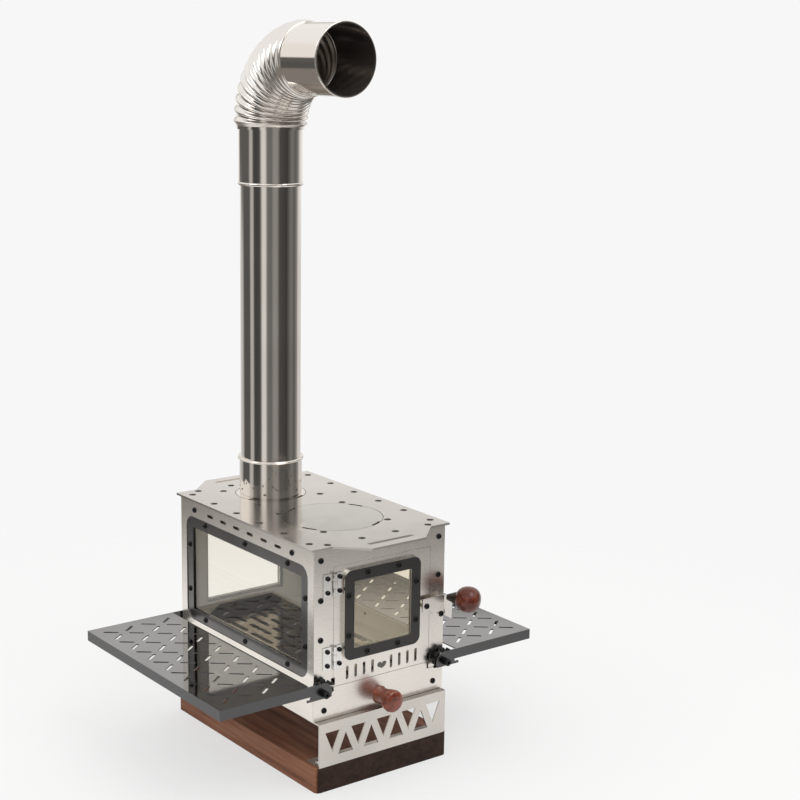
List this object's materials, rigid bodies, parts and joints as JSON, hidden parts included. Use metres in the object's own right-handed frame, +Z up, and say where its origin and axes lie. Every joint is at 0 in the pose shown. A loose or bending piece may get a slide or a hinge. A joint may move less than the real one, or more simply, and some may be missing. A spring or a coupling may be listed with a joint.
{
  "type": "tent wood stove",
  "caption": "Small tent wood stove: steel firebox with side and door windows, folding side tables, ash drawer, lattice feet on a wooden board, and a tall flue with a ribbed elbow.",
  "frame": {"origin": "centre of the wooden board's underside", "axes": "+Z up along the flue, -Y out of the door, +X to the right side table seen from the door"},
  "size_m": [0.364, 0.3024, 0.7031],
  "materials": {
    "body_steel": "brushed",
    "flue_steel": "polished",
    "table_steel": "polished",
    "firebox_steel": "satin",
    "grate_steel": "polished",
    "ring_steel": "satin",
    "window_glass": "polished",
    "black_screws": "satin",
    "bright_fittings": "polished",
    "dark_metal": "satin",
    "walnut": "satin",
    "turned_wood": "polished"
  },
  "bodies": {
    "stove": {"base_board": "walnut", "front_foot": "body_steel", "rear_foot": "body_steel", "board_screws": "bright_fittings", "foot_screws": "black_screws", "floor_pan": "body_steel", "left_panel": "body_steel", "right_panel": "body_steel", "rear_panel": "body_steel", "front_frame": "body_steel", "frame_screws": "black_screws", "rear_screws": "black_screws", "firebox": "firebox_steel", "panel_screws": "black_screws", "left_window_ring": "ring_steel", "left_window_glass": "window_glass", "left_ring_screws": "black_screws", "right_window_ring": "ring_steel", "right_window_glass": "window_glass", "right_ring_screws": "black_screws", "rear_window_ring": "ring_steel", "rear_window_glass": "window_glass", "rear_ring_screws": "black_screws", "grate": "grate_steel", "top_plate": "body_steel", "plate_nuts": "bright_fittings", "flue_collar": "flue_steel", "frame_hinge_leaves": "bright_fittings", "hinge_pins": "bright_fittings", "frame_hinge_bolts": "black_screws", "latch_catch": "bright_fittings", "table_pivots": "black_screws", "table_stops": "black_screws", "table_spacers": "bright_fittings"},
    "door": {"door_panel": "body_steel", "door_ring": "ring_steel", "door_glass": "window_glass", "door_ring_screws": "black_screws", "door_hinge_leaves": "bright_fittings", "door_hinge_bolts": "black_screws", "latch_spacer": "bright_fittings", "latch_pivot": "black_screws"},
    "latch": {"latch_arm": "body_steel", "latch_ferrule": "dark_metal", "latch_knob": "turned_wood"},
    "drawer": {"drawer_front": "body_steel", "drawer_screws": "black_screws", "drawer_knob": "turned_wood", "knob_screw": "bright_fittings", "ash_tray": "body_steel"},
    "left_side_table": {"left_table": "table_steel"},
    "right_side_table": {"right_table": "table_steel"},
    "burner_cover": {"burner_lid": "body_steel"},
    "flue": {"flue_pipe": "flue_steel"},
    "elbow": {"elbow_sleeve": "flue_steel", "elbow_bend": "flue_steel", "elbow_outlet": "flue_steel"}
  },
  "joints": [
    {"name": "door_hinge", "type": "hinge", "parent": "stove", "child": "door", "pos_m": [-0.05415, -0.1206, 0.162], "axis": [0, 0, -1], "range_deg": [0, 115]},
    {"name": "latch_lift", "type": "hinge", "parent": "door", "child": "latch", "pos_m": [0.051, -0.1233, 0.157], "axis": [0, -1, 0], "range_deg": [0, 35]},
    {"name": "drawer_slide", "type": "slide", "parent": "stove", "child": "drawer", "axis": [0, -1, 0], "range_m": [0, 0.15]},
    {"name": "left_table_fold", "type": "hinge", "parent": "stove", "child": "left_side_table", "pos_m": [-0.0715, 0, 0.0985], "axis": [0, -1, 0], "range_deg": [0, 58]},
    {"name": "right_table_fold", "type": "hinge", "parent": "stove", "child": "right_side_table", "pos_m": [0.0715, 0, 0.0985], "axis": [0, 1, 0], "range_deg": [0, 58]},
    {"name": "burner_lift", "type": "slide", "parent": "stove", "child": "burner_cover", "axis": [0, 0, 1], "range_m": [0, 0.03]},
    {"name": "flue_lift", "type": "slide", "parent": "stove", "child": "flue", "axis": [0, 0, 1], "range_m": [0, 0.06]},
    {"name": "elbow_swivel", "type": "hinge", "parent": "flue", "child": "elbow", "pos_m": [0, 0.0692, 0.6], "axis": [0, 0, 1], "continuous": true}
  ]
}
